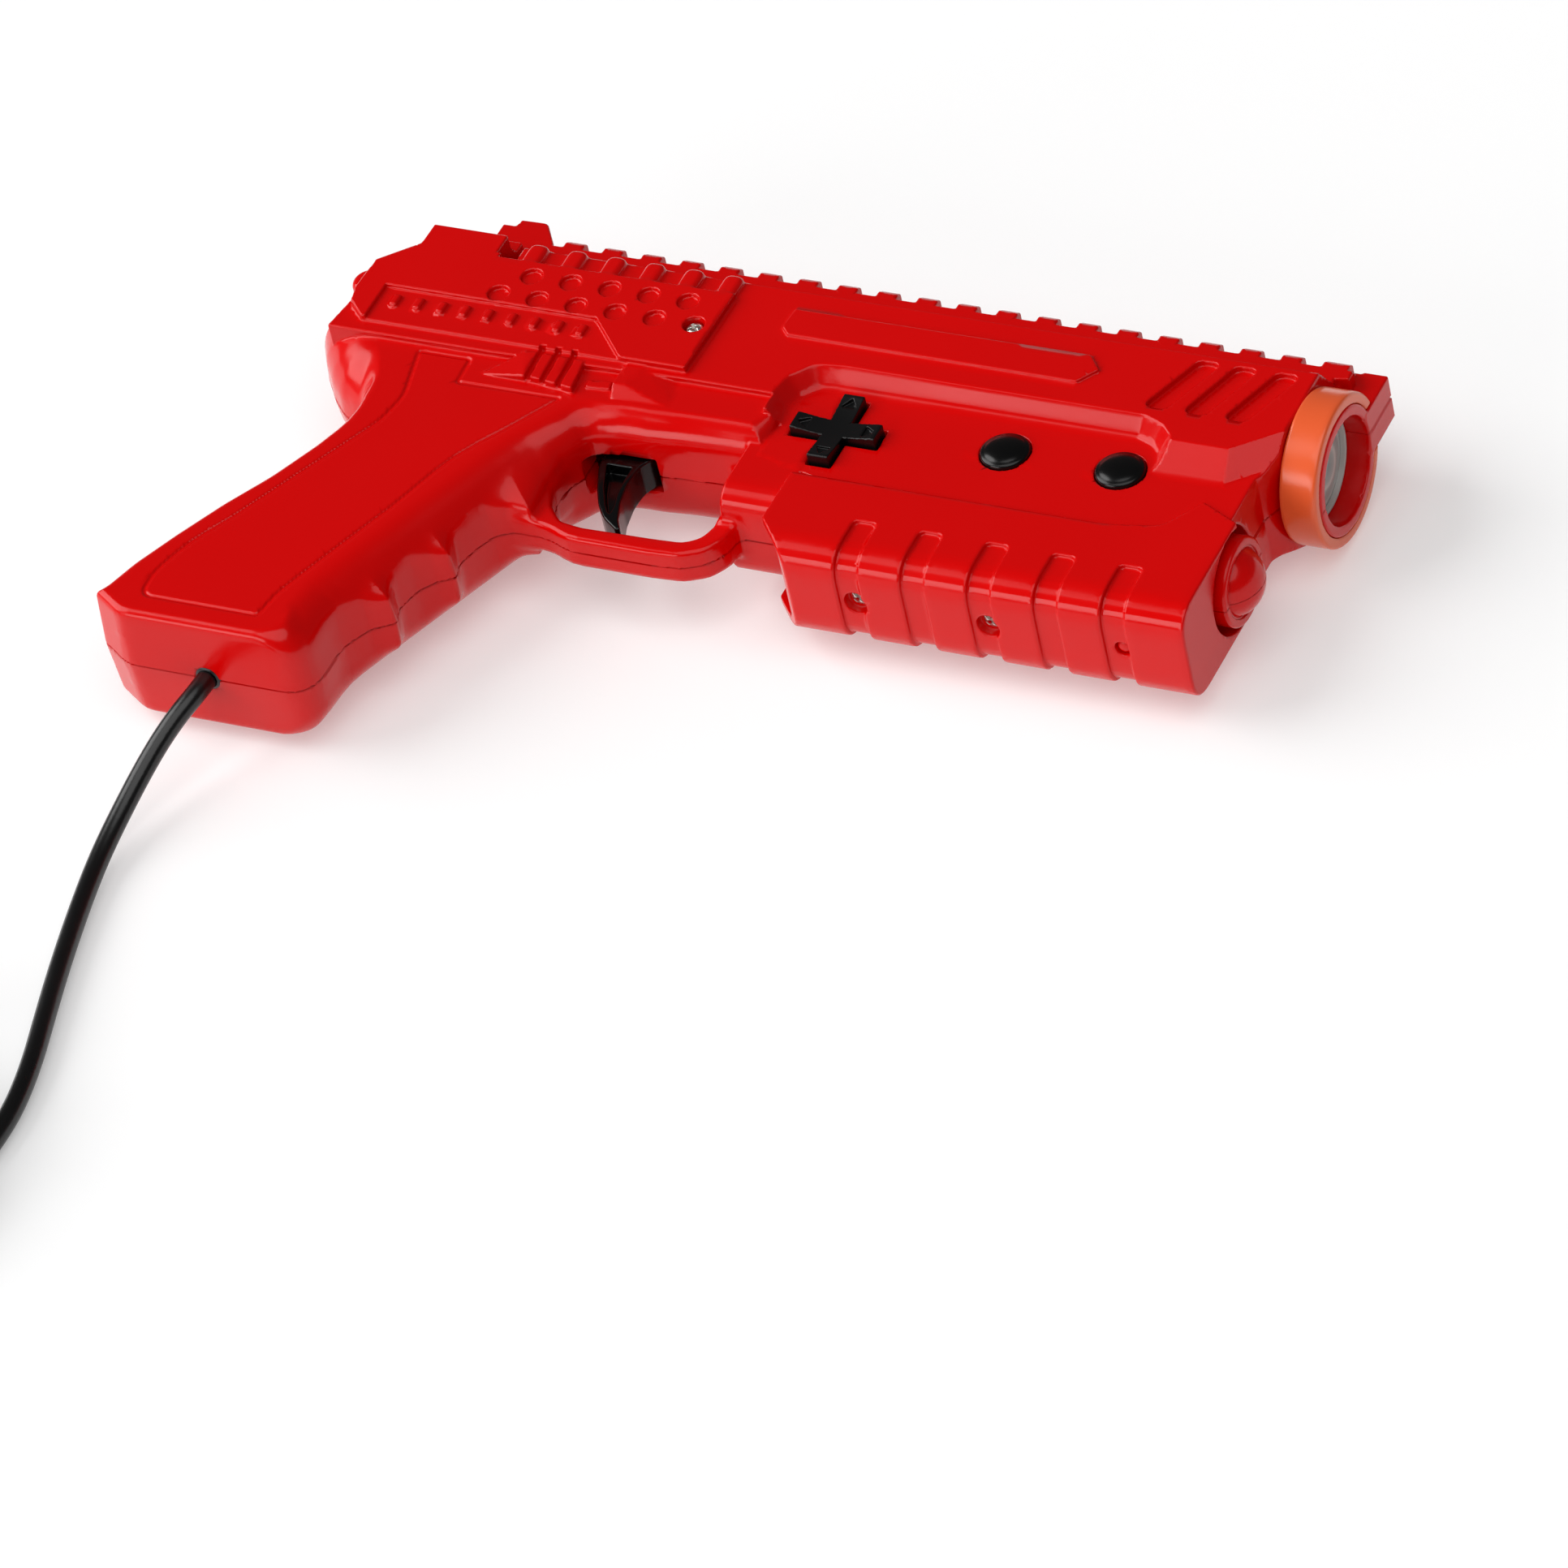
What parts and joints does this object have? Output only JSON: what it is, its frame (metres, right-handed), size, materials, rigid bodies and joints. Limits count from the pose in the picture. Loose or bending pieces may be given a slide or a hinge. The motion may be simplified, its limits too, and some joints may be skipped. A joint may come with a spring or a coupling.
{
  "type": "light gun",
  "caption": "Hand-held arcade light gun: two-part casing with accessory rail, direction pad, buttons, trigger, fore-end cover, muzzle camera and a coiled lead with a plug.",
  "frame": {"origin": "on the surface the gun lies on, under the middle of the gun's bounding box without the lead", "axes": "the gun lies on its left side: +X to the muzzle, +Y from the grip to the rail, +Z out of the side with the direction pad"},
  "size_m": [0.2908, 0.3407, 0.038],
  "materials": {
    "red_plastic": "moulded, satin gloss",
    "orange_plastic": "moulded, satin gloss",
    "black_plastic": "fine moulded texture",
    "grey_plastic": "smooth moulded",
    "black_controls": "polished moulding",
    "black_rubber": "satin jacket",
    "silicone_rubber": "matt silicone",
    "lens_glass": "coated glass",
    "circuit_board": "solder mask",
    "steel": "ground",
    "screw_steel": "bright zinc",
    "tie_fabric": "woven hook-and-loop band"
  },
  "bodies": {
    "root": {"right_shell": "red_plastic", "left_shell": "red_plastic", "fore_end_cover": "red_plastic", "cover_plug": "red_plastic", "muzzle_ring": "orange_plastic", "lens": "lens_glass", "camera_tube": "grey_plastic", "camera_board": "circuit_board", "main_board": "circuit_board", "right_switch_board": "circuit_board", "left_switch_board": "circuit_board", "dpad_membrane": "silicone_rubber", "button_membranes": "silicone_rubber", "trigger_pin": "steel", "trigger_spring": "steel", "trigger_switch": "black_plastic", "shell_screws": "screw_steel", "panel_screw": "screw_steel", "cover_screws": "screw_steel", "board_screws": "screw_steel", "clamp_screws": "screw_steel", "cord_grommet": "black_rubber", "cord_clamp": "black_plastic", "lead": "black_rubber", "lead_coil": "black_rubber", "lead_tie": "tie_fabric", "usb_plug": "black_plastic", "usb_tongue": "steel"},
    "dpad_rocker": {"dpad_pivot": "steel"},
    "dpad": {"dpad": "black_controls"},
    "right_front_button": {"right_front_button": "black_controls"},
    "right_rear_button": {"right_rear_button": "black_controls"},
    "left_front_button": {"left_front_button": "black_controls"},
    "left_rear_button": {"left_rear_button": "black_controls"},
    "trigger": {"trigger": "black_plastic"}
  },
  "joints": [
    {"name": "dpad_up_down", "type": "hinge", "parent": "root", "child": "dpad_rocker", "pos_m": [0.017, 0.0206, 0.0249], "axis": [1, 0, 0], "range_deg": [-4, 4], "stiffness_Nm_per_rad": 0.12},
    {"name": "dpad_left_right", "type": "hinge", "parent": "dpad_rocker", "child": "dpad", "pos_m": [0.017, 0.0206, 0.0249], "axis": [0, 1, 0], "range_deg": [-4, 4], "stiffness_Nm_per_rad": 0.12},
    {"name": "right_front_button_press", "type": "slide", "parent": "root", "child": "right_front_button", "axis": [0, 0, -1], "range_m": [0, 0.0013], "stiffness_N_per_m": 700},
    {"name": "right_rear_button_press", "type": "slide", "parent": "root", "child": "right_rear_button", "axis": [0, 0, -1], "range_m": [0, 0.0013], "stiffness_N_per_m": 700},
    {"name": "left_front_button_press", "type": "slide", "parent": "root", "child": "left_front_button", "axis": [0, 0, 1], "range_m": [0, 0.0013], "stiffness_N_per_m": 700},
    {"name": "left_rear_button_press", "type": "slide", "parent": "root", "child": "left_rear_button", "axis": [0, 0, 1], "range_m": [0, 0.0013], "stiffness_N_per_m": 700},
    {"name": "trigger_pull", "type": "hinge", "parent": "root", "child": "trigger", "pos_m": [-0.0275, 0.0175, 0.019], "axis": [0, 0, 1], "range_deg": [-12, 0], "stiffness_Nm_per_rad": 0.3}
  ]
}
